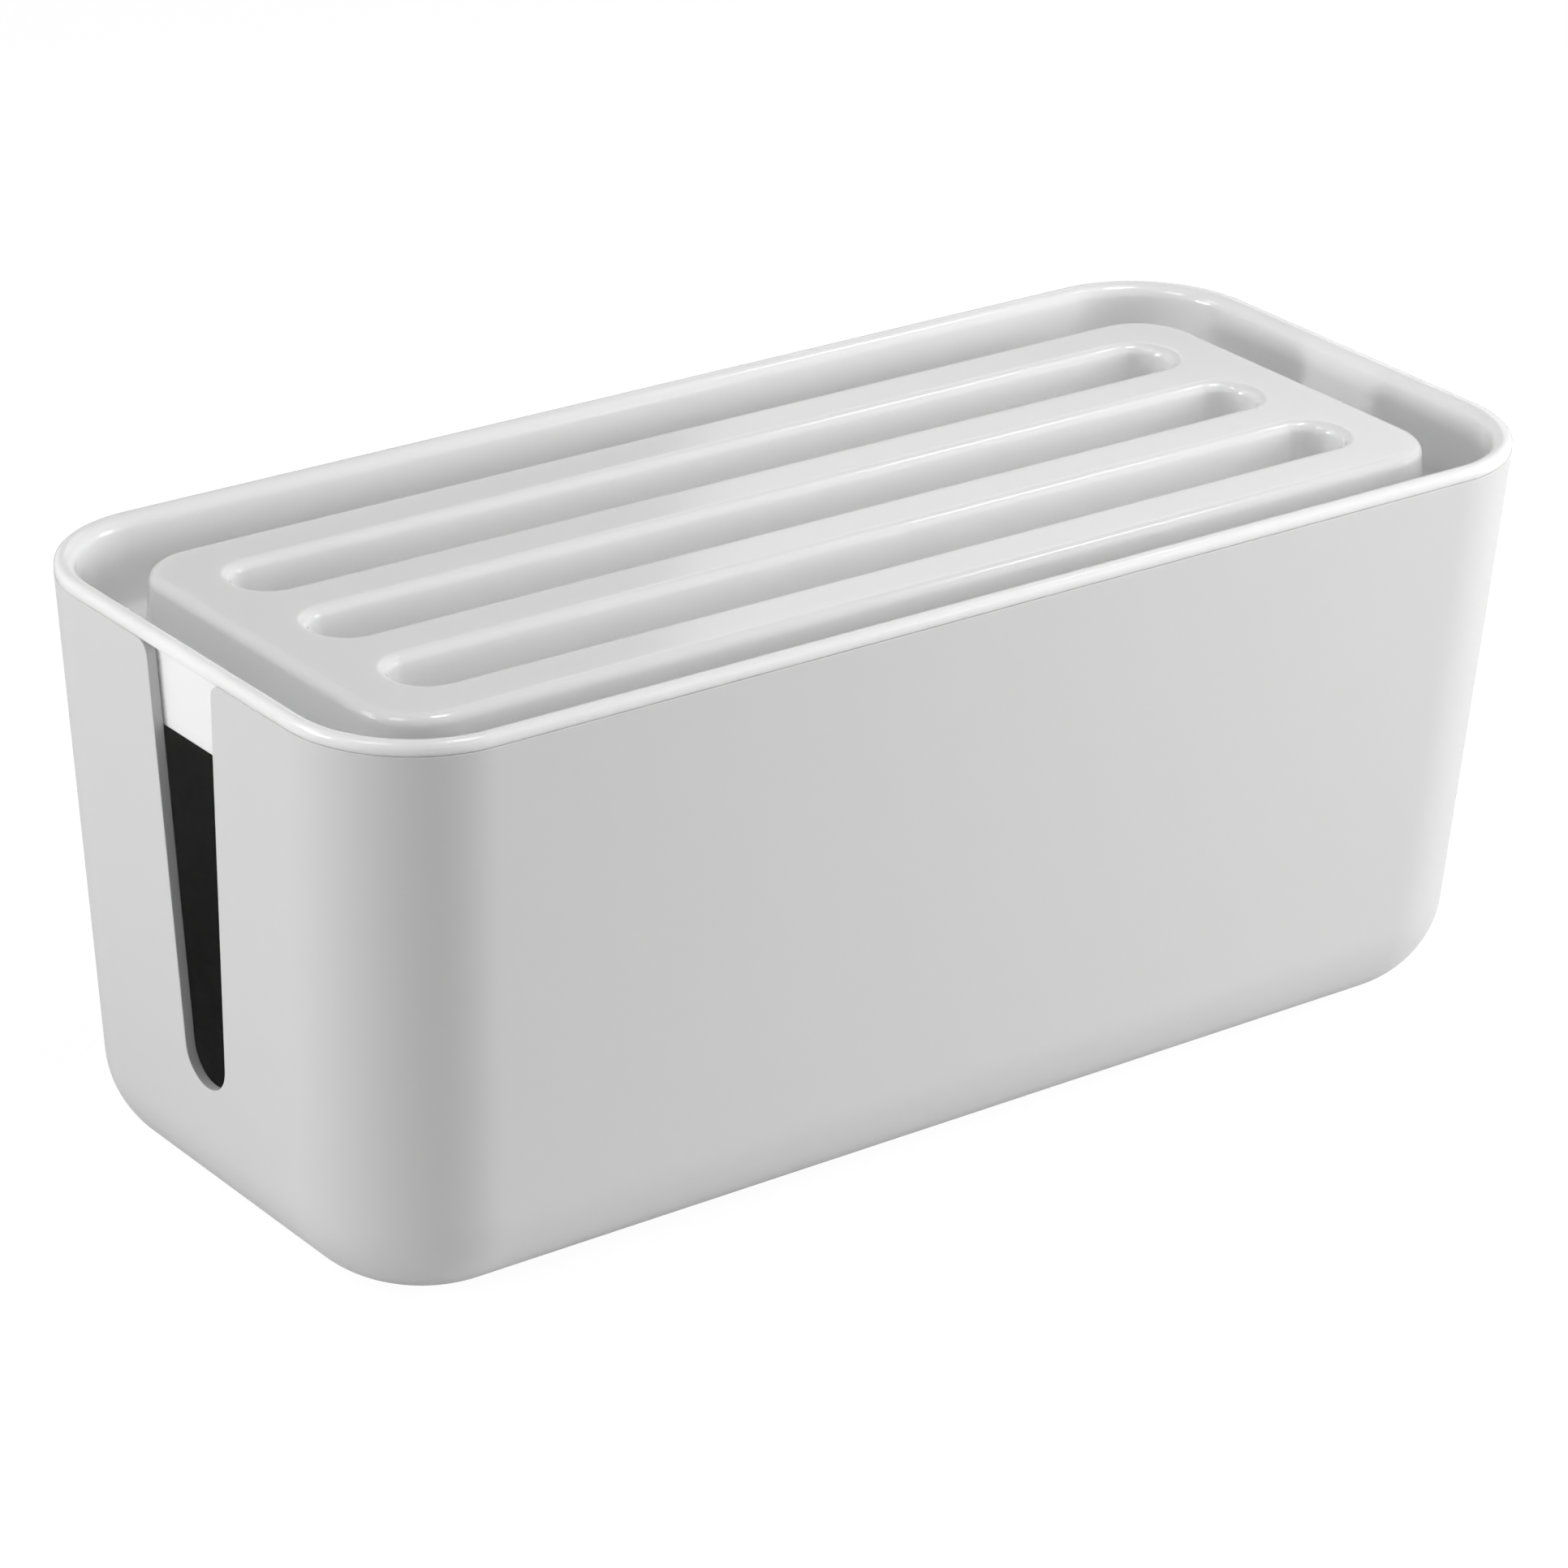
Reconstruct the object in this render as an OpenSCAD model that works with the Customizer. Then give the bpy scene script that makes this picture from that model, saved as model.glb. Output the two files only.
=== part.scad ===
// Cable management box: a drafted tub with a cable slot in each end, and a
// lift-off tray lid whose raised deck has three grooves for phones and tablets.
// Millimetres. +X is the length, +Z is up, and the origin is on the surface
// that the feet stand on, under the centre of the tub.

/* [Tub] */
// Length of the tub at its top edge
rim_l = 320; // [250:1:420]
// Width of the tub at its top edge
rim_w = 142; // [128:1:190]
// Height of the tub from its underside to its top edge
tub_h = 132.7; // [90:0.1:170]
// Radius of the upright corners
corner_r = 30; // [22:0.5:36]
// Lean of the walls, in degrees from upright
draft = 3.1; // [1:0.1:5]
// Radius of the roll between the walls and the underside
base_r = 21.6; // [8:0.1:24]
// Thickness of the tub's walls and floor
tub_wall = 2.4; // [1.8:0.1:3.2]

/* [Cable slots] */
// Width of a slot at the top edge, before its corners flare
slot_top_w = 24.8; // [18:0.1:30]
// Width of a slot at its round lower end
slot_end_w = 15.4; // [8:0.1:17]
// Height of a slot's lowest point above the underside
slot_end_h = 34; // [26:0.5:60]
// Radius of the flare at a slot's top corners
slot_flare_r = 3.5; // [1:0.1:5]

/* [Lid] */
// Height of the lid's rim above the tub's top edge
bead_h = 3.1; // [2:0.1:5]
// Radius of the rim's outer top edge
bead_out_r = 1.5; // [0.8:0.1:2]
// Thickness of the lid's walls
lid_wall = 1.8; // [1.5:0.1:2.5]
// Gap between the lid's skirt and the tub's wall
fit_gap = 0.35; // [0.3:0.05:0.8]
// Width of the channel round the deck
moat_w = 14.2; // [10:0.1:18]
// Depth of the channel below the top of the rim
moat_depth = 20.6; // [14:0.1:24]
// Radius at the foot of the channel's walls
moat_r = 3; // [1.5:0.1:4]
// Radius of the skirt's lower edge
skirt_edge_r = 0.5; // [0.2:0.1:1.5]

/* [Deck] */
// Depth of the deck below the top of the rim
deck_drop = 3.1; // [1:0.1:5]
// Radius of the deck's upright corners
deck_r = 14.5; // [8:0.5:20]
// Radius of the deck's top edge and of the grooves' lips
lip_r = 2.4; // [1:0.1:3]
// Lean of the deck's and the grooves' walls, in degrees
deck_draft = 3; // [1:0.5:6]

/* [Grooves] */
// Number of grooves
groove_count = 3; // [1:1:3]
// Distance between the centre lines of two grooves
groove_pitch = 30; // [24:0.5:34]
// Clear length of a groove between its lips
groove_l = 254; // [150:1:256]
// Clear width of a groove between its lips
groove_w = 15.8; // [10:0.1:18]
// Depth of a groove below the deck
groove_depth = 12; // [8:0.5:13]
// Radius at the foot of a groove's walls
groove_floor_r = 3; // [1:0.1:4]

/* [Feet] */
// Diameter of a foot
foot_d = 12; // [8:0.5:16]
// Height of a foot below the underside
foot_h = 1.2; // [0.8:0.1:3]
// Depth of the recess that holds a foot
foot_recess = 0.8; // [0.5:0.1:1.2]
// Gap round a foot in its recess
foot_gap = 0.15; // [0.05:0.05:0.4]
// Distance of a foot's centre from the ends of the tub's top edge
foot_end = 48; // [40:1:60]
// Distance of a foot's centre from the sides of the tub's top edge
foot_side = 41; // [38:1:50]
// Radius of a foot's lower edge
foot_edge_r = 0.5; // [0.2:0.1:0.7]

/* [Hidden] */

// Steps of a quarter turn: upright corners, rolls and lips
CORNER_STEPS = 10;
ROLL_STEPS = 8;
LIP_STEPS = 5;
$fn = 64;

lean = tan(draft);
deck_lean = tan(deck_draft);

// Heights above the surface that the feet stand on
base_z = foot_h;
edge_z = base_z + tub_h;
rim_z = edge_z + bead_h;
deck_z = rim_z - deck_drop;
moat_z = rim_z - moat_depth;
groove_z = deck_z - groove_depth;

// Insets from the rim's outline: skirt, moat wall and deck wall, at edge_z
skirt_in = tub_wall + fit_gap;
moat_in = skirt_in + lid_wall;
bead_in_r = moat_in - bead_out_r;
deck_in = moat_in + moat_w;

// Margin by which a cutting shape overshoots the surface it opens
over = 1;
// Smallest corner radius of a ring, where a roll would take up the whole corner
min_ring_r = 0.5;

// ---- Rings and lofts -------------------------------------------------------

// One level of a loft is [inset from the rim's outline, corner radius, height].
function ring(level) =
    let (r = max(level[1], min_ring_r), cx = rim_l / 2 - level[0] - r, cy = rim_w / 2 - level[0] - r)
    [for (q = [0 : 3]) for (i = [0 : CORNER_STEPS])
        let (a = 90 * (q + i / CORNER_STEPS))
        [(q == 0 || q == 3 ? cx : -cx) + r * cos(a), (q < 2 ? cy : -cy) + r * sin(a), level[2]]];

// A stadium outline: half length, half width and height.
function stadium(level) =
    [for (side = [0, 1]) for (i = [0 : 2 * CORNER_STEPS])
        let (a = -90 + 180 * side + 90 * i / CORNER_STEPS)
        [(side == 0 ? 1 : -1) * (level[0] - level[1]) + level[1] * cos(a), level[1] * sin(a), level[2]]];

// A closed solid through rings that run upwards, all with the same number of points.
module loft(rings) {
    n = len(rings[0]);
    m = len(rings);
    sides = [for (k = [0 : m - 2]) for (i = [0 : n - 1]) for (t = [0, 1])
        let (a = k * n + i, b = k * n + (i + 1) % n)
        t == 0 ? [a, a + n, b + n] : [a, b + n, b]];
    polyhedron([for (r = rings) each r], concat([[for (i = [0 : n - 1]) i],
        [for (i = [0 : n - 1]) m * n - 1 - i]], sides), convexity = 10);
}

// Levels of a wall that leans out from a rolled edge at its foot, up to z_top.
// The inset is inset_top at z_ref, and the corner radius stays the same.
function cup_levels(z_foot, z_top, z_ref, inset_top, r, roll, slope, steps) =
    concat([for (i = [0 : steps])
        let (a = 90 * i / steps, z = z_foot + roll * (1 - cos(a)), cut = roll * (1 - sin(a)))
        [inset_top + (z_ref - z) * slope + cut, r - cut, z]],
        [[inset_top + (z_ref - z_top) * slope, r, z_top]]);

// ---- Tub -------------------------------------------------------------------

module tub_outer() {
    loft([for (v = cup_levels(base_z, edge_z, edge_z, 0, corner_r, base_r, lean, ROLL_STEPS)) ring(v)]);
}

module tub_inner() {
    loft([for (v = cup_levels(base_z + tub_wall, edge_z + over, edge_z, tub_wall,
        corner_r - tub_wall, base_r - tub_wall, lean, ROLL_STEPS)) ring(v)]);
}

// The half outline of a slot as seen from the end, from its lowest point up: x is
// across, y is height. The side is tangent to the round end and to the flare.
function slot_side() =
    let (end_r = slot_end_w / 2, end_y = base_z + slot_end_h + end_r, rise = edge_z - end_y)
    let (half_w = slot_top_w / 2, splay = acos(end_r / norm([half_w, rise])) - atan(rise / half_w))
    let (flare_x = half_w + slot_flare_r * (1 - sin(splay)) / cos(splay))
    concat(
        [for (i = [0 : CORNER_STEPS])
            let (a = -90 + (90 - splay) * i / CORNER_STEPS)
            [end_r * cos(a), end_y + end_r * sin(a)]],
        [for (i = [0 : LIP_STEPS])
            let (a = 180 - splay - (90 - splay) * i / LIP_STEPS)
            [flare_x + slot_flare_r * cos(a), edge_z - slot_flare_r * (1 - sin(a))]],
        [[flare_x, edge_z + over]]);

// The whole outline of a slot, open above the top edge.
module slot_outline() {
    side = slot_side();
    polygon(concat(side, [for (i = [len(side) - 1 : -1 : 1]) [-side[i][0], side[i][1]]]));
}

// Both slots in one straight cut through the two ends.
module slot_cut() {
    rotate([90, 0, 90])
        translate([0, 0, -rim_l / 2 - over])
            linear_extrude(rim_l + 2 * over)
                slot_outline();
}

function foot_places() = [for (s = [[-1, -1], [1, -1], [-1, 1], [1, 1]])
    [s[0] * (rim_l / 2 - foot_end), s[1] * (rim_w / 2 - foot_side)]];

module tub() {
    color("gainsboro")
    difference() {
        tub_outer();
        tub_inner();
        slot_cut();
        for (p = foot_places())
            translate([p[0], p[1], base_z - over])
                cylinder(d = foot_d + 2 * foot_gap, h = foot_recess + over);
    }
}

// ---- Lid -------------------------------------------------------------------

// Levels of a convex edge that rolls from an upright wall onto a flat top, and of
// the flat's start. The wall's inset is inset_top at z_top.
function lip_levels(z_top, inset_top, r, lip, slope, steps) =
    [for (i = [0 : steps])
        let (a = 90 * i / steps, z = z_top - lip * (1 - sin(a)), cut = lip * (1 - cos(a)))
        [inset_top - (z_top - z) * slope + cut, r - cut, z]];

// The lid's outside below the rim, as a solid. The skirt closes the top of each slot.
module skirt_solid() {
    loft([for (v = cup_levels(moat_z - lid_wall, edge_z + over / 2, edge_z, skirt_in,
        corner_r - skirt_in, skirt_edge_r, lean, LIP_STEPS)) ring(v)]);
}

// The rim: a bead that sits on the tub's top edge.
module rim_solid() {
    loft(concat([ring([0, corner_r, edge_z])],
        [for (v = lip_levels(rim_z, 0, corner_r, bead_out_r, 0, LIP_STEPS)) ring(v)]));
}

// The space inside the rim, down to the channel's floor, before the deck is added.
module tray_hollow() {
    well = cup_levels(moat_z, edge_z, edge_z, moat_in, corner_r - moat_in, moat_r, lean, LIP_STEPS);
    bell = [for (i = [1 : LIP_STEPS])
        let (a = 90 * i / LIP_STEPS, cut = bead_in_r * (1 - cos(a)))
        [moat_in - cut, corner_r - moat_in + cut, rim_z - bead_in_r * (1 - sin(a))]];
    mouth = [[bead_out_r, corner_r - bead_out_r, rim_z + over]];
    loft([for (v = concat(well, bell, mouth)) ring(v)]);
}

// A block with a lip round its top, from z_foot up. Its foot flares out when foot > 0.
module deck_block(inset, r, z_top, z_foot, lip, foot) {
    flare = foot > 0
        ? [for (i = [0 : LIP_STEPS])
            let (a = 90 * i / LIP_STEPS, z = z_foot + foot * (1 - cos(a)), out = foot * (1 - sin(a)))
            [inset - (z_top - z) * deck_lean - out, r + out, z]]
        : [[inset - (z_top - z_foot) * deck_lean, r, z_foot]];
    loft([for (v = concat(flare, lip_levels(z_top, inset, r, lip, deck_lean, LIP_STEPS))) ring(v)]);
}

// Where the grooves lie across the deck.
function groove_places() = [for (i = [0 : groove_count - 1]) (i - (groove_count - 1) / 2) * groove_pitch];

// A groove as a solid that is grown by a wall: its lip flares out at the deck when lip > 0.
module groove_solid(grow, lip, z_top, floor_r) {
    hx = groove_l / 2 + grow;
    hy = groove_w / 2 + grow;
    z_foot = groove_z - grow;
    wall = [for (i = [0 : LIP_STEPS])
        let (a = 90 * i / LIP_STEPS, z = z_foot + floor_r * (1 - cos(a)))
        let (cut = floor_r * (1 - sin(a)) + (deck_z - z) * deck_lean)
        [hx - cut, hy - cut, z]];
    edge = lip > 0
        ? [for (i = [0 : LIP_STEPS])
            let (a = 90 * i / LIP_STEPS, out = lip * (1 - cos(a)))
            [hx + out, hy + out, deck_z - lip * (1 - sin(a))]]
        : [[hx, hy, z_top]];
    mouth = lip > 0 ? [[hx + lip, hy + lip, deck_z + over]] : [];
    loft([for (v = concat(wall, edge, mouth)) stadium(v)]);
}

module lid() {
    color("whitesmoke")
    difference() {
        union() {
            difference() {
                union() {
                    skirt_solid();
                    rim_solid();
                }
                difference() {
                    tray_hollow();
                    deck_block(deck_in, deck_r, deck_z, moat_z, lip_r, moat_r);
                }
                deck_block(deck_in + lid_wall, deck_r - lid_wall, deck_z - lid_wall,
                    moat_z - lid_wall - over, lip_r, 0);
            }
            for (y = groove_places())
                translate([0, y, 0])
                    groove_solid(lid_wall, 0, deck_z - lid_wall / 2, groove_floor_r + lid_wall);
        }
        for (y = groove_places())
            translate([0, y, 0])
                groove_solid(0, lip_r, deck_z, groove_floor_r);
    }
}

// ---- Feet ------------------------------------------------------------------

// A rubber foot: a flat pad with a rounded lower edge, seated in its recess.
module foot(place) {
    color("dimgray")
    translate([place[0], place[1], 0])
        rotate_extrude() {
            translate([0, foot_edge_r])
                square([foot_d / 2, foot_h + foot_recess - foot_edge_r]);
            square([foot_d / 2 - foot_edge_r, foot_edge_r]);
            intersection() {
                translate([foot_d / 2 - foot_edge_r, foot_edge_r])
                    circle(foot_edge_r);
                square([foot_d / 2, foot_edge_r]);
            }
        }
}

tub();
lid();
foot(foot_places()[0]);  // foot_front_left
foot(foot_places()[1]);  // foot_front_right
foot(foot_places()[2]);  // foot_rear_left
foot(foot_places()[3]);  // foot_rear_right
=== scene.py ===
"""Looks of the cable management box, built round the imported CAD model.

Lengths are worked out in millimetres, as in the source of the part, and each finished
mesh is written in metres. +X is the length, +Y is the back and +Z is up.
"""

from math import acos, atan, cos, hypot, pi, radians, sin, tan

import bmesh
import bpy
import numpy as np
from mathutils import Matrix, Vector


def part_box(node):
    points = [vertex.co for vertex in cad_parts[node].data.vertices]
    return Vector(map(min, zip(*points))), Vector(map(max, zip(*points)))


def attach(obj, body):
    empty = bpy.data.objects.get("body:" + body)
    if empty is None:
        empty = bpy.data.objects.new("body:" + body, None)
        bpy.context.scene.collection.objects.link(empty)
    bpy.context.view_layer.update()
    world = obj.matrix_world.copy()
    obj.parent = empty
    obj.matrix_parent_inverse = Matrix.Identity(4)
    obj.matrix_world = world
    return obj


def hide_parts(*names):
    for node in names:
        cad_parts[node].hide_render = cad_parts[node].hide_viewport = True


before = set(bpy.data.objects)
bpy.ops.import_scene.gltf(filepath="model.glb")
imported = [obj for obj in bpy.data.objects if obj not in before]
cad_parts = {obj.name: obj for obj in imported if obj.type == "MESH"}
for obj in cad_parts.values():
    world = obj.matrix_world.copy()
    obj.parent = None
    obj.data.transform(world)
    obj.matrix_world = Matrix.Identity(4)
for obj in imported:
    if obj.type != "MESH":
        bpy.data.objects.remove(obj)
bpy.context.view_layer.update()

# ---- Sizes, in millimetres ---------------------------------------------------

MM = 0.001

tub_low, tub_high = (np.array(corner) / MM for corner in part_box("tub"))
lid_low, lid_high = (np.array(corner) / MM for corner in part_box("lid"))

RIM_L = tub_high[0] - tub_low[0]
RIM_W = tub_high[1] - tub_low[1]
BASE_Z = tub_low[2]
EDGE_Z = tub_high[2]
RIM_Z = lid_high[2]

CORNER_R = 30.0
LEAN = tan(radians(3.1))
BASE_R = 21.6
TUB_WALL = 2.4
TUB_EDGE_R = 0.25

SLOT_TOP_W = 24.8
SLOT_END_W = 15.4
SLOT_END_Z = BASE_Z + 34.0
SLOT_FLARE_R = 3.5

BEAD_OUT_R = 1.5
BEAD_FOOT_R = 0.4
LID_WALL = 1.8
FIT_GAP = 0.35
MOAT_W = 14.2
MOAT_R = 3.0
MOAT_Z = lid_low[2] + LID_WALL
SKIRT_IN = TUB_WALL + FIT_GAP
MOAT_IN = SKIRT_IN + LID_WALL
BEAD_IN_R = MOAT_IN - BEAD_OUT_R
DECK_IN = MOAT_IN + MOAT_W

DECK_Z = RIM_Z - 3.1
DECK_R = 14.5
DECK_LEAN = tan(radians(3.0))
LIP_R = 2.4

GROOVE_PITCH = 30.0
GROOVE_L = 254.0
GROOVE_W = 15.8
GROOVE_Z = DECK_Z - 12.0
GROOVE_FLOOR_R = 3.0

SKIRT_EDGE_R = 0.5
UNDER_EDGE_R = 0.4

FOOT_R = 6.0
FOOT_EDGE_R = 0.5
FOOT_TOP_Z = BASE_Z + 0.8
FOOT_GAP = 0.15
FOOT_X = RIM_L / 2 - 48.0
FOOT_Y = RIM_W / 2 - 41.0

# Half width and foot of the flat patch of an end wall that a slot is cut in
PATCH_Y = 24.0
PATCH_Z = BASE_Z + 27.0

# Width of the strip beside a rounded edge that keeps the flat wall's shading flat
GUARD = 0.4

# Share of a long side at which its last column stands, close to the round corner
SIDE_GUARD = 0.993

# ---- Camera ------------------------------------------------------------------

VIEW_AZIMUTH = radians(-37.329)
VIEW_ELEVATION = radians(24.346)
VIEW_ROLL = radians(1.475)
VIEW_DISTANCE = 1358.577
VIEW_SLIDE = (-2.934, 12.084)
VIEW_TARGET = Vector((0, 0, 53.2))
VIEW_LENS = 139.69
SENSOR = 36.0


def place_camera():
    """A pinhole camera turned about the target, then slid in its own plane."""
    a, e, r = VIEW_AZIMUTH, VIEW_ELEVATION, VIEW_ROLL
    back = Vector((sin(a) * cos(e), -cos(a) * cos(e), sin(e)))
    level = Vector((cos(a), sin(a), 0))
    steep = back.cross(level)
    right = cos(r) * level + sin(r) * steep
    up = -sin(r) * level + cos(r) * steep
    place = VIEW_TARGET + back * VIEW_DISTANCE + right * VIEW_SLIDE[0] + up * VIEW_SLIDE[1]
    data = bpy.data.cameras.new("camera")
    data.lens, data.sensor_width = VIEW_LENS, SENSOR
    data.clip_start, data.clip_end = 0.05, 50
    camera = bpy.data.objects.new("camera", data)
    turn = Matrix((right, up, back)).transposed().to_4x4()
    camera.matrix_world = Matrix.Translation(place * MM) @ turn
    bpy.context.scene.collection.objects.link(camera)
    bpy.context.scene.camera = camera


place_camera()

# ---- Meshes from grids ---------------------------------------------------------

# Points of two grids that lie closer than this, in metres, become one point
WELD = 2e-6

# An edge that turns by more than this is shaded as a sharp edge
SHARP_ANGLE = radians(38)


class Shell:
    """A closed surface put together from grids of points that meet edge to edge."""

    def __init__(self):
        self.points, self.quads, self.count = [], [], 0

    def grid(self, points):
        """Adds the four-sided faces between neighbouring rows and columns of a grid."""
        rows, cols = points.shape[:2]
        index = np.arange(rows * cols).reshape(rows, cols) + self.count
        corners = (index[:-1, :-1], index[:-1, 1:], index[1:, 1:], index[1:, :-1])
        self.points.append(points.reshape(-1, 3))
        self.quads.append(np.stack(corners, -1).reshape(-1, 4))
        self.count += rows * cols

    def piece(self, name, body, slot, material, *nodes):
        """Welds the grids, turns the faces outwards and makes the piece ride on its body."""
        mesh = bpy.data.meshes.new(name)
        points = np.concatenate(self.points) * MM
        mesh.from_pydata(points.tolist(), [], np.concatenate(self.quads).tolist())
        build = bmesh.new()
        build.from_mesh(mesh)
        bmesh.ops.remove_doubles(build, verts=build.verts, dist=WELD)
        bmesh.ops.recalc_face_normals(build, faces=build.faces)
        open_edges = sum(not edge.is_manifold for edge in build.edges)
        print(name, len(build.faces), "faces,", open_edges, "open edges,", build.calc_volume())
        build.to_mesh(mesh)
        build.free()
        mesh.shade_smooth()
        mesh.set_sharp_from_angle(angle=SHARP_ANGLE)
        mesh.materials.append(material)
        made = bpy.data.objects.new(name, mesh)
        bpy.context.scene.collection.objects.link(made)
        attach(made, body)
        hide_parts(*nodes)


def arc(start, stop, steps):
    """Sines and cosines of evenly spaced angles from start to stop, in degrees."""
    angles = np.radians(np.linspace(start, stop, steps + 1))
    return np.sin(angles), np.cos(angles)


def web(outer, inner, steps):
    """A flat ring of faces: points on straight lines from one loop to the other."""
    share = np.linspace(0, 1, steps + 1)[:, None, None]
    return outer * (1 - share) + inner * share


# ---- Rounded rectangles --------------------------------------------------------

# A column is [ax, bx, ay, by, nx, ny]. Where the corner's centre is (cx, cy), it
# stands at (ax + bx * cx, ay + by * cy) and faces along (nx, ny).


def end_columns(ys):
    """Columns of the right end at fixed places across it."""
    ys = np.asarray(ys, float)
    one, none = np.ones_like(ys), np.zeros_like(ys)
    return np.stack([none, one, ys, none, one, none], -1)


def sweep_columns(patch_y, end_shares, corner_steps, long_shares):
    """Columns from the right end's patch round the back to the left end's patch."""
    shares = np.asarray(end_shares, float)
    one, none = np.ones_like(shares), np.zeros_like(shares)
    end = np.stack([none, one, patch_y * (1 - shares), shares, one, none], -1)
    sines, cosines = arc(0, 90, corner_steps)
    one, none = np.ones_like(sines), np.zeros_like(sines)
    corner = np.stack([none, one, none, one, cosines, sines], -1)
    shares = np.asarray(long_shares, float)
    one, none = np.ones_like(shares), np.zeros_like(shares)
    side = np.stack([none, shares, none, one, none, one], -1)
    mirrored = np.array([-1, -1, 1, 1, -1, 1])
    half = np.concatenate([end, corner])
    return np.concatenate([half, side, half[::-1] * mirrored])


def ring(columns, levels):
    """Rows of points round a rounded rectangle. A level is [inset from the rim's
    outline, corner radius, height]: each point is its column's foot plus the radius
    along the column's direction."""
    inset, radius, z = (value[:, None] for value in np.asarray(levels, float).T)
    ax, bx, ay, by, nx, ny = columns.T
    cx = RIM_L / 2 - inset - radius
    cy = RIM_W / 2 - inset - radius
    x = ax + bx * cx + nx * radius
    y = ay + by * cy + ny * radius
    return np.stack([x, y, z + 0 * x], -1)


def cup_levels(z_foot, top_zs, inset, radius, roll, steps):
    """A wall that leans out from a rolled edge at its foot, where inset is the wall's
    at the tub's top edge. The roll is a quarter circle below the wall's straight part."""
    sines, cosines = arc(0, 90, steps)
    zs = np.concatenate([z_foot + roll * (1 - cosines), np.asarray(top_zs, float)])
    cut = np.concatenate([roll * (1 - sines), np.zeros(len(top_zs))])
    return np.stack([inset + (EDGE_Z - zs) * LEAN + cut, radius - cut, zs], -1)


def block_levels(inset, radius, z_top, foot_zs, lip, steps):
    """A wall that leans in towards a convex lip at its top: the straight part's
    heights first, then a quarter circle, then the start of the flat top."""
    sines, cosines = arc(0, 90, steps)
    zs = np.concatenate([np.asarray(foot_zs, float), z_top - lip * (1 - sines)])
    cut = np.concatenate([np.zeros(len(foot_zs)), lip * (1 - cosines)])
    return np.stack([inset - (z_top - zs) * DECK_LEAN + cut, radius - cut, zs], -1)


# ---- Tub -------------------------------------------------------------------------

CORNER_STEPS = 32
ROLL_STEPS = 24
EDGE_STEPS = 6
SLOT_FLARE_STEPS = 10
SLOT_SIDE_STEPS = 12
SLOT_END_STEPS = 32
SLOT_STEPS = SLOT_FLARE_STEPS + SLOT_SIDE_STEPS
PATCH_STEPS = 8
FLOOR_STEPS = 3
QUARTER_STEPS = 12
RECESS_STEPS = 4

# Where the columns stand: along an end from its patch, 0, to the corner, 1, and along a
# long wall from the right corner, 1, to the left corner, -1
TUB_END_SHARES = (0, 0.6, 0.93, 1)
TUB_LONG_SHARES = (1, SIDE_GUARD, 0.75, 0.5, 0.25, 0, -0.25, -0.5, -0.75, -SIDE_GUARD, -1)


def slot_curve():
    """The slot's outline across an end wall, as [y, z] and the unit direction into the
    wall: a flare's arc, a straight side, the round end, and the same mirrored."""
    end_r, half_w = SLOT_END_W / 2, SLOT_TOP_W / 2
    end_z = SLOT_END_Z + end_r
    rise = EDGE_Z - end_z
    splay = acos(end_r / hypot(half_w, rise)) - atan(rise / half_w)
    flare_y = half_w + SLOT_FLARE_R * (1 - sin(splay)) / cos(splay)
    sines, cosines = arc(90, 180 - splay * 180 / pi, SLOT_FLARE_STEPS)
    flare = np.stack([flare_y + SLOT_FLARE_R * cosines, EDGE_Z - SLOT_FLARE_R * (1 - sines)], -1)
    flare_in = -np.stack([cosines, sines], -1)
    sines, cosines = arc(-splay * 180 / pi, -180 + splay * 180 / pi, SLOT_END_STEPS)
    end = np.stack([end_r * cosines, end_z + end_r * sines], -1)
    end_in = np.stack([cosines, sines], -1)
    share = np.linspace(0, 1, SLOT_SIDE_STEPS + 1)[1:-1, None]
    side = flare[-1] * (1 - share) + end[0] * share
    side_in = np.repeat(end_in[:1], len(side), 0)
    other = np.array([-1, 1])
    curve = np.concatenate([flare, side, end, (side * other)[::-1], (flare * other)[::-1]])
    inward = np.concatenate([flare_in, side_in, end_in, side_in * other, (flare_in * other)[::-1]])
    return curve, inward


def wall_point(yz, depth):
    """Points of the right end wall at [y, z], at a depth below its outer face."""
    x = RIM_L / 2 - (EDGE_Z - yz[..., 1]) * LEAN - depth
    return np.stack([x, yz[..., 0], yz[..., 1]], -1)


def edge_profile():
    """The tub's edge across its wall, as [distance from the edge, depth]: flat, a
    quarter circle, the flat land, a quarter circle, flat."""
    sines, cosines = arc(0, 90, EDGE_STEPS)
    near = TUB_EDGE_R * np.stack([1 - sines, 1 - cosines], -1)
    far = np.array([0, TUB_WALL]) + near[::-1] * np.array([1, -1])
    guard = TUB_EDGE_R + GUARD
    return np.concatenate([[[guard, 0]], near, far, [[guard, TUB_WALL]]])


def turned(points):
    """The same points on the other end of the box: turned half round about Z."""
    return points * np.array([-1, -1, 1])


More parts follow.
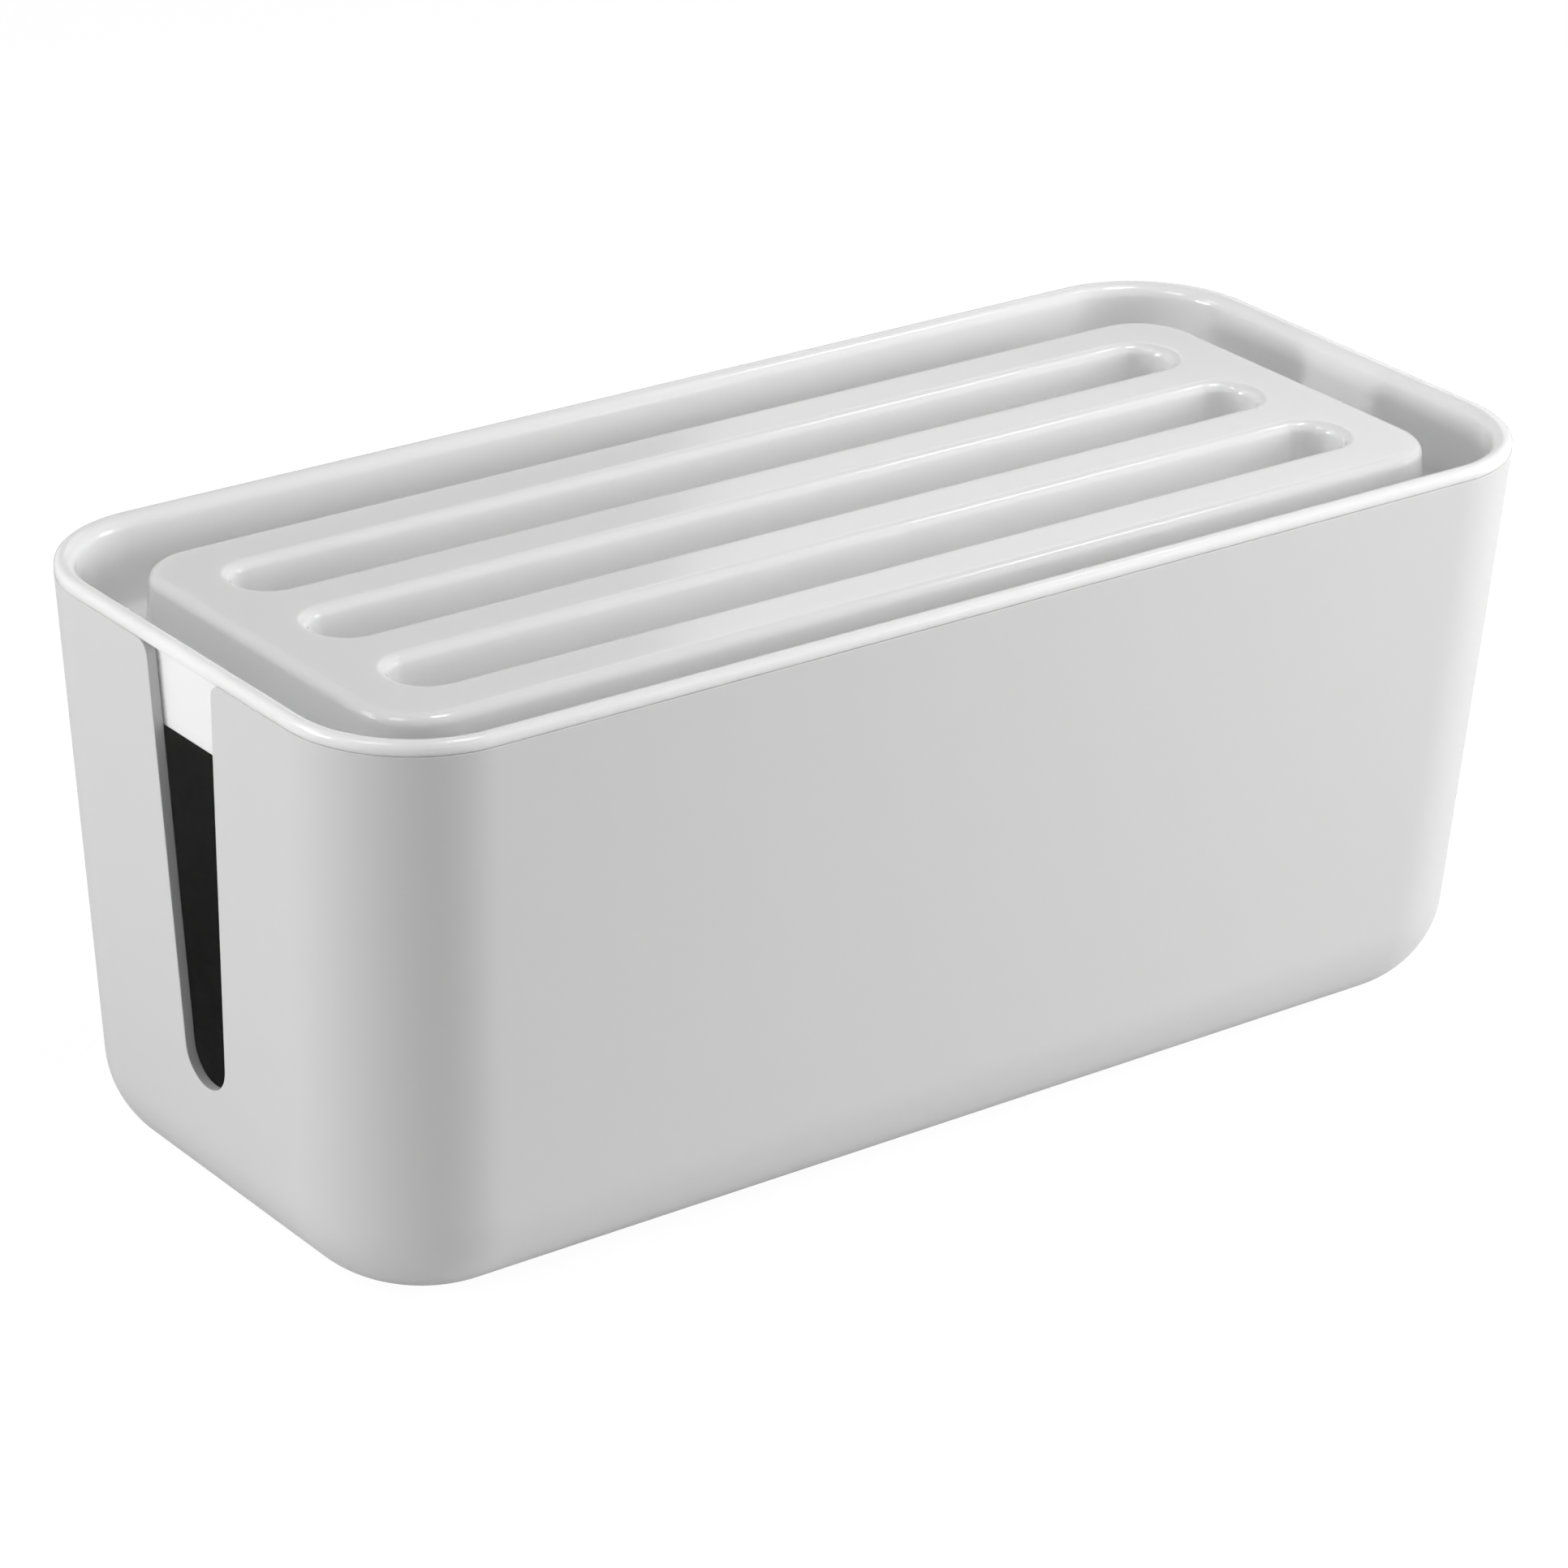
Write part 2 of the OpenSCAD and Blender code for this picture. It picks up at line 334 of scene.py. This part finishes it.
def tub_shell(material):
    """The tub as one wall: outer and inner faces are rounded-rectangle lofts with flat
    patches round the slots, and one rounded edge runs along the top and both slots."""
    shell = Shell()
    curve, inward = slot_curve()
    profile = edge_profile()
    guard = profile[0, 0]
    top_z = EDGE_Z - guard

    side_z = np.linspace(top_z, PATCH_Z, SLOT_STEPS + 1)
    patch_y = np.linspace(PATCH_Y, -PATCH_Y, SLOT_END_STEPS + 1)
    side = np.stack([np.full_like(side_z, PATCH_Y), side_z], -1)
    foot = np.stack([patch_y, np.full_like(patch_y, PATCH_Z)], -1)
    border = np.concatenate([side, foot[1:-1], side[::-1] * np.array([-1, 1])])
    share = np.linspace(0, 1, PATCH_STEPS + 1)[:, None, None]
    patch = (curve + guard * inward) * (1 - share) + border * share

    sweep = sweep_columns(PATCH_Y, TUB_END_SHARES, CORNER_STEPS, TUB_LONG_SHARES)
    right = end_columns(patch_y[::-1])
    around = np.concatenate([right, sweep, -right, -sweep])
    for depth in (0, TUB_WALL):
        grid = wall_point(patch, depth)
        shell.grid(grid)
        shell.grid(turned(grid))
        rise = ((EDGE_Z - side_z) * LEAN + depth, np.full_like(side_z, CORNER_R - depth), side_z)
        wall = ring(sweep, np.stack(rise, -1))
        shell.grid(wall)
        shell.grid(turned(wall))
        roll = BASE_R - depth
        levels = cup_levels(BASE_Z + depth, [], depth, CORNER_R - depth, roll, ROLL_STEPS)
        lean_in = (EDGE_Z - PATCH_Z) * LEAN
        guard_z = levels[-1, 2] + GUARD
        guard_in = (EDGE_Z - guard_z) * LEAN
        above = [[guard_in + depth, CORNER_R - depth, guard_z],
                 [lean_in + depth, CORNER_R - depth, PATCH_Z]]
        shell.grid(ring(around, np.concatenate([levels, above])))

    edge_rows = []
    for distance, depth in profile:
        slot = curve + distance * inward
        line = patch[:, 0, 0][::-1, None] * np.array([1, 0]) + np.array([0, EDGE_Z - distance])
        other = np.array([-1, 1])
        path = np.concatenate([line[:-1], slot, (line[:-1] * other)[::-1]])
        edge_rows.append(wall_point(path, depth))
    strip = np.stack(edge_rows)
    shell.grid(strip)
    shell.grid(turned(strip))
    distance, depth = profile.T
    top = ring(sweep, np.stack([distance * LEAN + depth, CORNER_R - depth, EDGE_Z - distance], -1))
    shell.grid(top)
    shell.grid(turned(top))

    floor_in(shell, around)
    floor_under(shell, around)
    shell.piece("tub_shell", "base", "tub_plastic", material, "tub")


def floor_in(shell, around):
    """The floor inside: the roll's last ring drawn in to a line along the middle."""
    z = BASE_Z + TUB_WALL
    roll = BASE_R - TUB_WALL
    inset = TUB_WALL + (EDGE_Z - z) * LEAN + roll
    outer = ring(around, [[inset, CORNER_R - TUB_WALL - roll, z]])[0]
    reach = RIM_L / 2 - inset - CORNER_R
    inner = outer.copy()
    inner[:, 0] = np.clip(outer[:, 0], -reach, reach)
    inner[:, 1] = 0
    shell.grid(web(outer, inner, FLOOR_STEPS))


def floor_under(shell, around):
    """The underside: four flat quarters, each with a round recess for a foot."""
    inset = (EDGE_Z - BASE_Z) * LEAN + BASE_R
    outer = ring(around, [[inset, CORNER_R - BASE_R, BASE_Z]])[0]
    half = len(around) // 2
    middle = int(np.argmin(np.abs(outer[:half, 1]) + (outer[:half, 0] < 0) * RIM_L))
    back = int(np.argmin(np.abs(outer[:half, 0])))
    quarter = outer[middle:back + 1]
    share = np.linspace(0, 1, QUARTER_STEPS + 1)[:, None]
    centre = np.array([0, 0, BASE_Z])
    loop = np.concatenate([quarter, (quarter[-1] * (1 - share) + centre * share)[1:],
                           (centre * (1 - share) + quarter[0] * share)[1:]])
    for sx in (1, -1):
        for sy in (1, -1):
            flip = np.array([sx, sy, 1])
            foot = np.array([FOOT_X, FOOT_Y, 0])
            spread = loop[:, :2] - foot[:2]
            angle = np.unwrap(np.arctan2(spread[:, 1], spread[:, 0]))
            radius = FOOT_R + FOOT_GAP
            circle = foot + np.stack(
                [radius * np.cos(angle), radius * np.sin(angle), 0 * angle + BASE_Z], -1)
            roof = circle + np.array([0, 0, FOOT_TOP_Z - BASE_Z])
            hub = foot + np.array([0, 0, FOOT_TOP_Z]) + 0 * roof
            shell.grid(web(loop, circle, RECESS_STEPS) * flip)
            shell.grid(np.stack([circle, roof, hub]) * flip)


# ---- Lid -------------------------------------------------------------------------

LIP_STEPS = 10
LID_LONG_STEPS = 24
LID_END_STEPS = 16
DECK_STEPS = 5
UNDER_STEPS = 4
BEAD_FOOT_STEPS = 3

# Where the columns stand: along an end from a divide, 0, to the corner, 1, and along a
# long side from the right corner, 1, to the left corner, -1
LID_END_SHARES = np.append(np.linspace(0, 0.95, 10), 1)
LID_LONG_SHARES = np.concatenate(
    [[1, SIDE_GUARD], np.linspace(0.95, -0.95, LID_LONG_STEPS - 3), [-SIDE_GUARD, -1]])

# Directions from the centre of a groove's round end, in degrees from straight across, in
# which a divide has points, and how far its points keep from the deck's border and from
# where the round end starts
DIVIDE_TURNS = np.arange(50, 0, -5)
DIVIDE_GAP = 1

# Depths below the tub's edge at which the skirt and the channel's outer wall have a ring
SKIRT_RING = 2.0
WELL_RING = 3.0


def lid_columns():
    """The lid's columns: those of the right end between the two divides, those from
    there round the back to the left end, and all of them round the lid."""
    right = end_columns(np.linspace(-GROOVE_PITCH / 2, GROOVE_PITCH / 2, LID_END_STEPS + 1))
    sweep = sweep_columns(GROOVE_PITCH / 2, LID_END_SHARES, CORNER_STEPS, LID_LONG_SHARES)
    return right, sweep, np.concatenate([right, sweep, -right, -sweep])


def lid_tray(material):
    """The lid as one wall of even thickness: a rounded-rectangle loft from the hollow
    under the deck, under the channel, over the rim, along the channel and up onto the
    deck, closed by flat webs and by the grooves, which are stadium-shaped lofts."""
    shell = Shell()
    right, sweep, around = lid_columns()
    z_under = MOAT_Z - LID_WALL
    under_z = DECK_Z - LID_WALL

    inner_zs = [z_under + UNDER_EDGE_R, z_under + UNDER_EDGE_R + GUARD, under_z - LIP_R - GUARD]
    hollow = block_levels(
        DECK_IN + LID_WALL, DECK_R - LID_WALL, under_z, inner_zs, LIP_R, LIP_STEPS)[::-1]
    sines, cosines = arc(0, 90, UNDER_STEPS)
    wall_in, wall_r = hollow[-1, 0], hollow[-1, 1]
    turn = np.stack([wall_in - UNDER_EDGE_R * (1 - cosines), wall_r + UNDER_EDGE_R * (1 - cosines),
                     z_under + UNDER_EDGE_R * (1 - sines)], -1)[1:]
    skirt_zs = [z_under + SKIRT_EDGE_R + GUARD, EDGE_Z - SKIRT_RING, EDGE_Z - GUARD, EDGE_Z]
    skirt = cup_levels(
        z_under, skirt_zs, SKIRT_IN, CORNER_R - SKIRT_IN, SKIRT_EDGE_R, UNDER_STEPS)
    ledge = np.array([[turn[-1, 0] - GUARD, turn[-1, 1] + GUARD, z_under],
                      [skirt[0, 0] + GUARD, skirt[0, 1] - GUARD, z_under]])

    sines, cosines = arc(0, 90, BEAD_FOOT_STEPS)
    seat = np.array([[SKIRT_IN - GUARD, CORNER_R - SKIRT_IN + GUARD, EDGE_Z],
                     [BEAD_FOOT_R + GUARD, CORNER_R - BEAD_FOOT_R - GUARD, EDGE_Z]])
    foot = np.stack([BEAD_FOOT_R * (1 - sines), CORNER_R - BEAD_FOOT_R * (1 - sines),
                     EDGE_Z + BEAD_FOOT_R * (1 - cosines)], -1)
    sines, cosines = arc(0, 90, LIP_STEPS)
    bead = np.stack([BEAD_OUT_R * (1 - cosines), CORNER_R - BEAD_OUT_R * (1 - cosines),
                     RIM_Z - BEAD_OUT_R * (1 - sines)], -1)
    sines, cosines = arc(90, 0, LIP_STEPS)
    bell = np.stack([MOAT_IN - BEAD_IN_R * (1 - cosines),
                     CORNER_R - MOAT_IN + BEAD_IN_R * (1 - cosines),
                     RIM_Z - BEAD_IN_R * (1 - sines)], -1)[1:]
    well_zs = [EDGE_Z - WELL_RING, EDGE_Z - GUARD]
    well = cup_levels(MOAT_Z, well_zs, MOAT_IN, CORNER_R - MOAT_IN, MOAT_R, LIP_STEPS)[::-1]
    sines, cosines = arc(0, 90, LIP_STEPS)
    flare_z = MOAT_Z + MOAT_R * (1 - cosines)
    flare_in = DECK_IN - (DECK_Z - flare_z) * DECK_LEAN - MOAT_R * (1 - sines)
    flare = np.stack([flare_in, DECK_R + MOAT_R * (1 - sines), flare_z], -1)
    floor = np.array([[well[-1, 0] + GUARD, well[-1, 1] - GUARD, MOAT_Z],
                      [flare[0, 0] - GUARD, flare[0, 1] + GUARD, MOAT_Z]])
    deck_zs = [flare_z[-1] + GUARD, DECK_Z - LIP_R - GUARD]
    deck = block_levels(DECK_IN, DECK_R, DECK_Z, deck_zs, LIP_R, LIP_STEPS)
    shelf = [[deck[-1, 0] + GUARD, deck[-1, 1] - GUARD, DECK_Z]]
    wall = ring(around, np.concatenate([
        hollow, turn, ledge, skirt, seat, foot, bead, bell, well, floor, flare, deck, shelf]))

    shell.grid(wall)
    grooves(shell, right, sweep, wall[-1], DECK_Z, top_groove())
    grooves(shell, right, sweep, wall[0], under_z, under_groove())
    shell.piece("lid_tray", "lid", "lid_plastic", material, "lid")


def groove_wall(grow, steps):
    """Levels up a groove's wall, as [growth of the outline, height]: a foot radius,
    then the straight wall that leans out."""
    r = GROOVE_FLOOR_R + grow
    sines, cosines = arc(0, 90, steps)
    z = GROOVE_Z - grow + r * (1 - cosines)
    return np.stack([grow - r * (1 - sines) - (DECK_Z - z) * DECK_LEAN, z], -1)


def top_groove():
    """Levels of a groove seen from above, from the deck down: lip, wall and foot."""
    sines, cosines = arc(90, 0, LIP_STEPS)
    lip = np.stack([LIP_R * (1 - cosines), DECK_Z - LIP_R * (1 - sines)], -1)
    wall = groove_wall(0, LIP_STEPS)[::-1]
    guard = [[wall[0, 0], wall[0, 1] + GUARD]]
    return np.concatenate([[[LIP_R + GUARD, DECK_Z]], lip, guard, wall])


def under_groove():
    """Levels of a groove seen from below: its outer wall hangs from the deck."""
    wall = groove_wall(LID_WALL, LIP_STEPS)[::-1]
    r = UNDER_EDGE_R
    sines, cosines = arc(90, 0, UNDER_STEPS)
    root = np.stack([LID_WALL + r * (1 - cosines), DECK_Z - LID_WALL - r * (1 - sines)], -1)
    guard = [[wall[0, 0], wall[0, 1] + GUARD]]
    return np.concatenate([[[LID_WALL + r + GUARD, DECK_Z - LID_WALL]], root, guard, wall])


def grooves(shell, right, sweep, border, z, levels):
    """Three flat webs from the deck's border to the grooves' lips, and the grooves."""
    n_right, n_sweep = len(right), len(sweep)
    right_row = border[:n_right]
    back_row = border[n_right:n_right + n_sweep]
    left_row = border[n_right + n_sweep:2 * n_right + n_sweep]
    front_row = border[2 * n_right + n_sweep:]
    n_corner = (n_sweep - (LID_LONG_STEPS + 1)) // 2
    side = back_row[n_corner:n_sweep - n_corner]
    reach = right_row[0, 0]
    # Past a groove's end the divides have a point every few degrees, so the end is round.
    end_x = GROOVE_L / 2 - GROOVE_W / 2
    past = end_x + GROOVE_PITCH / 2 * np.tan(np.radians(DIVIDE_TURNS))
    past = past[past < reach - DIVIDE_GAP]
    between = side[np.abs(side[:, 0]) < end_x - DIVIDE_GAP, 0]
    line = np.concatenate([[reach], past, between, -past[::-1], [-reach]])[:, None]
    divide = line * np.array([1, 0, 0]) + np.array([0, GROOVE_PITCH / 2, z])

    # The back groove's border runs along the deck's back and then along the divide.
    back_loop = np.concatenate([back_row, divide[::-1][1:-1], back_row[:1]])
    middle_loop = np.concatenate([right_row, divide[1:-1], left_row, (-divide * [1, 1, -1])[1:-1],
                                  right_row[:1]])
    for loop, y in (
            (back_loop, GROOVE_PITCH), (middle_loop, 0.0), (turned(back_loop), -GROOVE_PITCH)):
        groove(shell, loop, y, levels)


def groove(shell, loop, y, levels):
    """A web from a border loop to a stadium, and the stadium's loft down to its floor.
    Each stadium point lies in the direction of its border point from the nearest
    point of the groove's middle line."""
    half_x, half_y = GROOVE_L / 2, GROOVE_W / 2
    reach = half_x - half_y
    spine = np.stack([np.clip(loop[:, 0], -reach, reach), np.full(len(loop), y)], -1)
    spread = loop[:, :2] - spine
    direction = spread / np.linalg.norm(spread, axis=1, keepdims=True)
    rows = []
    for grow, z in levels:
        flat = spine + direction * (half_y + grow)
        rows.append(np.concatenate([flat, np.full((len(loop), 1), z)], -1))
    rows.append(np.concatenate([spine, np.full((len(loop), 1), levels[-1][1])], -1))
    rows = np.stack(rows)
    shell.grid(web(loop, rows[0], DECK_STEPS))
    shell.grid(rows)


# ---- Feet --------------------------------------------------------------------------

FOOT_EDGE_STEPS = 6
FOOT_TURN_STEPS = 64


def foot(name, x, y, material):
    """A rubber pad: a profile turned about its upright axis, flat below, with a
    rounded lower edge, a straight side and a flat top in its recess."""
    sines, cosines = arc(0, 90, FOOT_EDGE_STEPS)
    edge_r = FOOT_R - FOOT_EDGE_R * (1 - sines)
    edge_z = FOOT_EDGE_R * (1 - cosines)
    radius = np.concatenate([[0, edge_r[0] - GUARD], edge_r, [FOOT_R, FOOT_R - GUARD, 0]])
    z = np.concatenate([[0, 0], edge_z, [FOOT_TOP_Z, FOOT_TOP_Z, FOOT_TOP_Z]])
    sines, cosines = arc(0, 360, FOOT_TURN_STEPS)
    grid = np.stack([x + radius[:, None] * cosines, y + radius[:, None] * sines,
                     z[:, None] + 0 * cosines], -1)
    shell = Shell()
    shell.grid(grid)
    shell.piece("pad_" + name, "base", "foot_rubber", material, "foot_" + name)


# ---- Materials ---------------------------------------------------------------------

NOISE_DETAIL = 3


def plain_material(name, colour, roughness, specular, grain, depth, haze):
    """A grey moulded finish: a fine bump of noise on the object's own coordinates, with
    grains of about the grain's width and the depth's height. Light goes about a haze's
    length into the plastic before it comes out again, and none goes in where haze is 0."""
    material = bpy.data.materials.new(name)
    material.use_nodes = True
    nodes, links = material.node_tree.nodes, material.node_tree.links
    shader = nodes["Principled BSDF"]
    shader.inputs["Base Color"].default_value = (colour, colour, colour, 1)
    shader.inputs["Roughness"].default_value = roughness
    shader.inputs["Specular IOR Level"].default_value = specular
    if haze > 0:
        shader.inputs["Subsurface Weight"].default_value = 1
        shader.inputs["Subsurface Radius"].default_value = (1, 1, 1)
        shader.inputs["Subsurface Scale"].default_value = haze * MM
    place = nodes.new("ShaderNodeTexCoord")
    noise = nodes.new("ShaderNodeTexNoise")
    noise.inputs["Scale"].default_value = 1 / (grain * MM)
    noise.inputs["Detail"].default_value = NOISE_DETAIL
    links.new(place.outputs["Object"], noise.inputs["Vector"])
    bump = nodes.new("ShaderNodeBump")
    bump.inputs["Strength"].default_value = 1
    bump.inputs["Distance"].default_value = depth * MM
    links.new(noise.outputs["Fac"], bump.inputs["Height"])
    links.new(bump.outputs["Normal"], shader.inputs["Normal"])
    return material


tub_plastic = plain_material(
    "tub_plastic", colour=0.63, roughness=0.55, specular=0.3, grain=0.6, depth=0.006, haze=0)
lid_plastic = plain_material(
    "lid_plastic", colour=0.86, roughness=0.12, specular=0.5, grain=3.0, depth=0.003, haze=3.2)
foot_rubber = plain_material(
    "foot_rubber", colour=0.2, roughness=0.7, specular=0.5, grain=0.8, depth=0.02, haze=0)

tub_shell(tub_plastic)
lid_tray(lid_plastic)
for name, sx, sy in (
        ("front_left", -1, -1), ("front_right", 1, -1), ("rear_left", -1, 1), ("rear_right", 1, 1)):
    foot(name, sx * FOOT_X, sy * FOOT_Y, foot_rubber)

# ---- Stage and light -----------------------------------------------------------------

# Distances of the lamps from the box, and sizes of the lamps, in metres
FAR_LAMP = 1.6
NEAR_LAMP = 0.9
MAIN_SIZE = 0.5
FILL_SIZE = 0.4
GLINT_SIZE = 0.12

# Each lamp's place, its azimuth and elevation in degrees, a fill's distance, and its watts
MAIN_LAMPS = (
    ("left_rear", -120, 30, 3.1), ("left_low", -105, 10, 12.2), ("left_high", -75, 50, 4.3),
    ("top", 30, 70, 7.2), ("right_low", 60, 10, 6.5), ("back", 135, 30, 0.7))
FILL_LAMPS = (
    ("near_front", 15, 20, NEAR_LAMP, 1.3), ("near_right", 60, 20, NEAR_LAMP, 2.5),
    ("right_front", 45, 10, FAR_LAMP, 3.2))
GLINT_LAMPS = (("glint_high", 74, 52, 0.9), ("glint_low", 34, 4, 0.4))

# The floor's paint for light that bounces, and its faint paint and glow for the camera
FLOOR_PAINT = 0.8
FLOOR_FAINT = 0.15
FLOOR_GLOW = 0.93

# Half width of the floor, in metres
FLOOR_HALF = 3.0


def area_lamp(name, azimuth, elevation, distance, size, power):
    """A square lamp that faces the box from a direction given as for the camera: an
    azimuth of 0 is the front and 90 the right end."""
    a, e = radians(azimuth), radians(elevation)
    back = Vector((sin(a) * cos(e), -cos(a) * cos(e), sin(e)))
    data = bpy.data.lights.new(name, "AREA")
    data.shape, data.size, data.energy = "SQUARE", size, power
    lamp = bpy.data.objects.new(name, data)
    lamp.location = back * distance + Vector((0, 0, RIM_Z / 2 * MM))
    lamp.rotation_mode = "QUATERNION"
    lamp.rotation_quaternion = back.to_track_quat("Z", "Y")
    bpy.context.scene.collection.objects.link(lamp)
    return lamp


def floor_material():
    """A pale floor that the camera sees as white, less a part of the box's shadow."""
    material = bpy.data.materials.new("floor_white")
    material.use_nodes = True
    nodes, links = material.node_tree.nodes, material.node_tree.links
    nodes.clear()
    out = nodes.new("ShaderNodeOutputMaterial")
    path = nodes.new("ShaderNodeLightPath")
    paint = nodes.new("ShaderNodeBsdfDiffuse")
    paint.inputs["Color"].default_value = (FLOOR_PAINT, FLOOR_PAINT, FLOOR_PAINT, 1)
    faint = nodes.new("ShaderNodeBsdfDiffuse")
    faint.inputs["Color"].default_value = (FLOOR_FAINT, FLOOR_FAINT, FLOOR_FAINT, 1)
    glow = nodes.new("ShaderNodeEmission")
    glow.inputs["Strength"].default_value = FLOOR_GLOW
    add = nodes.new("ShaderNodeAddShader")
    mix = nodes.new("ShaderNodeMixShader")
    links.new(faint.outputs[0], add.inputs[0])
    links.new(glow.outputs[0], add.inputs[1])
    links.new(path.outputs["Is Camera Ray"], mix.inputs["Fac"])
    links.new(paint.outputs[0], mix.inputs[1])
    links.new(add.outputs[0], mix.inputs[2])
    links.new(mix.outputs[0], out.inputs["Surface"])
    return material


def floor(material):
    """A wide flat floor under the feet."""
    mesh = bpy.data.meshes.new("floor")
    signs = ((-1, -1), (1, -1), (1, 1), (-1, 1))
    corners = [(sx * FLOOR_HALF, sy * FLOOR_HALF, 0) for sx, sy in signs]
    mesh.from_pydata(corners, [], [(0, 1, 2, 3)])
    mesh.materials.append(material)
    made = bpy.data.objects.new("floor", mesh)
    bpy.context.scene.collection.objects.link(made)


def sky():
    """A sky that the camera, reflections and clear bodies see as white, and that gives no
    other light."""
    world = bpy.data.worlds.new("sky")
    bpy.context.scene.world = world
    world.use_nodes = True
    nodes, links = world.node_tree.nodes, world.node_tree.links
    nodes.clear()
    out = nodes.new("ShaderNodeOutputWorld")
    path = nodes.new("ShaderNodeLightPath")
    light = nodes.new("ShaderNodeBackground")
    light.inputs["Strength"].default_value = 0
    shown = nodes.new("ShaderNodeBackground")
    shown.inputs["Strength"].default_value = 1
    mix = nodes.new("ShaderNodeMixShader")
    mirrored = nodes.new("ShaderNodeMath")
    mirrored.operation = "MAXIMUM"
    links.new(path.outputs["Is Glossy Ray"], mirrored.inputs[0])
    links.new(path.outputs["Is Transmission Ray"], mirrored.inputs[1])
    seen = nodes.new("ShaderNodeMath")
    seen.operation = "MAXIMUM"
    links.new(path.outputs["Is Camera Ray"], seen.inputs[0])
    links.new(mirrored.outputs[0], seen.inputs[1])
    links.new(seen.outputs[0], mix.inputs["Fac"])
    links.new(light.outputs[0], mix.inputs[1])
    links.new(shown.outputs[0], mix.inputs[2])
    links.new(mix.outputs[0], out.inputs["Surface"])


floor(floor_material())
sky()
for place, azimuth, elevation, power in MAIN_LAMPS:
    area_lamp("lamp_" + place, azimuth, elevation, FAR_LAMP, MAIN_SIZE, power)
# A fill lights the walls but isn't mirrored in the lips.
for place, azimuth, elevation, distance, power in FILL_LAMPS:
    lamp = area_lamp("lamp_" + place, azimuth, elevation, distance, FILL_SIZE, power)
    lamp.visible_glossy = False
for place, azimuth, elevation, power in GLINT_LAMPS:
    area_lamp("lamp_" + place, azimuth, elevation, FAR_LAMP, GLINT_SIZE, power)

scene = bpy.context.scene
scene.view_settings.view_transform = "Standard"
